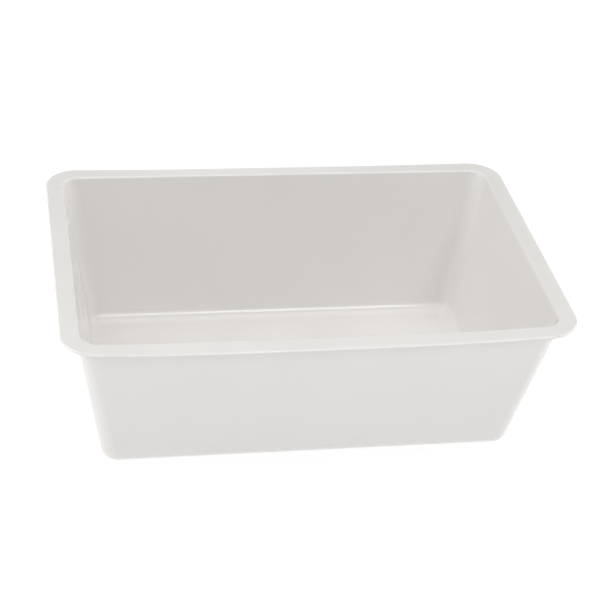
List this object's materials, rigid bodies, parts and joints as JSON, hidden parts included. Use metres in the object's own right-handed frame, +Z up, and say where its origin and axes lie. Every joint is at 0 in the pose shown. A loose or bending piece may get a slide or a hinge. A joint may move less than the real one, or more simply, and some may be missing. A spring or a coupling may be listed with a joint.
{
  "type": "developing tray",
  "caption": "Deep open rectangular darkroom tray with leaning walls, rounded corners and foot, and a flat outward rim, moulded in one piece of pale plastic.",
  "frame": {"origin": "centre of the flat underside, on the surface that the tray stands on", "axes": "+X along the length, +Y along the width, +Z up out of the open mouth"},
  "size_m": [0.4, 0.27, 0.135],
  "materials": {
    "tray_plastic": "satin"
  },
  "bodies": {
    "root": {"tray": "tray_plastic"}
  },
  "joints": []
}
